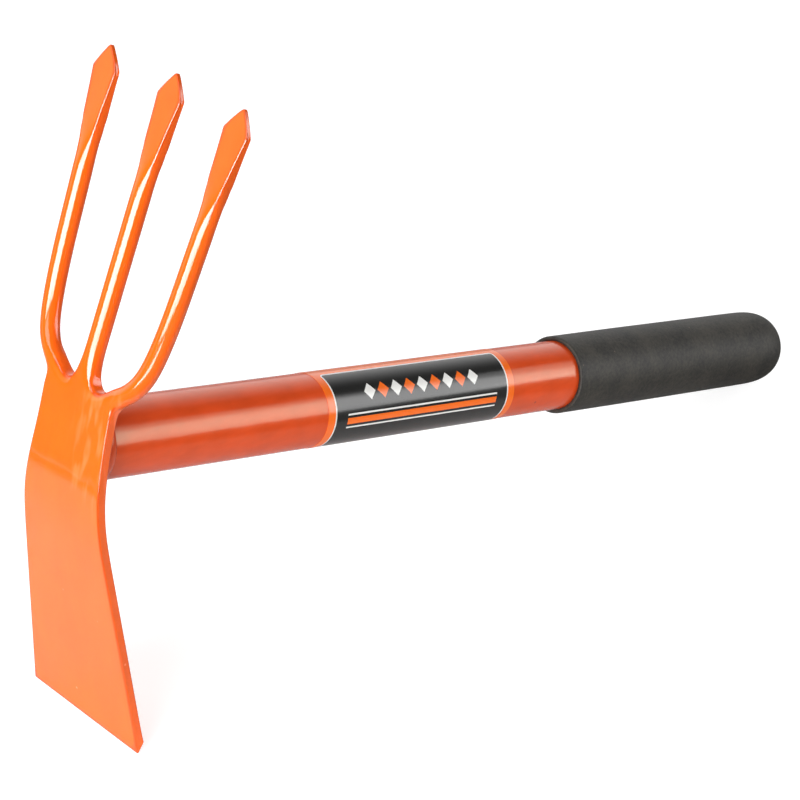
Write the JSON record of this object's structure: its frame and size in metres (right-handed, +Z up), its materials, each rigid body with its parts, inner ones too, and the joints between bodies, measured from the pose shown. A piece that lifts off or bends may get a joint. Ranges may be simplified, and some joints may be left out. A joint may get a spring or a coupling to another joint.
{
  "type": "garden cultivator",
  "caption": "Hand garden cultivator: a forged head with a hoe blade below and spear-ended tines above, welded to a painted steel tube with a foam grip.",
  "frame": {"origin": "on the floor, under the middle of the tool as it stands on its blade edge and the end of its grip", "axes": "+X runs level from the head towards the grip, +Y across the blade, +Z up towards the tine tips"},
  "size_m": [0.3508, 0.0722, 0.2153],
  "materials": {
    "head_enamel": "gloss orange enamel on forged steel",
    "tube_paint": "satin dark orange paint on steel tube",
    "label_film": "gloss printed film, black with orange",
    "grip_foam": "matte black foam rubber",
    "plug_plastic": "matte black plastic"
  },
  "bodies": {
    "root": {"head": "head_enamel", "neck_weld": "tube_paint", "handle_tube": "tube_paint", "tube_label": "label_film", "foam_grip": "grip_foam", "tube_end_plug": "plug_plastic"}
  },
  "joints": []
}
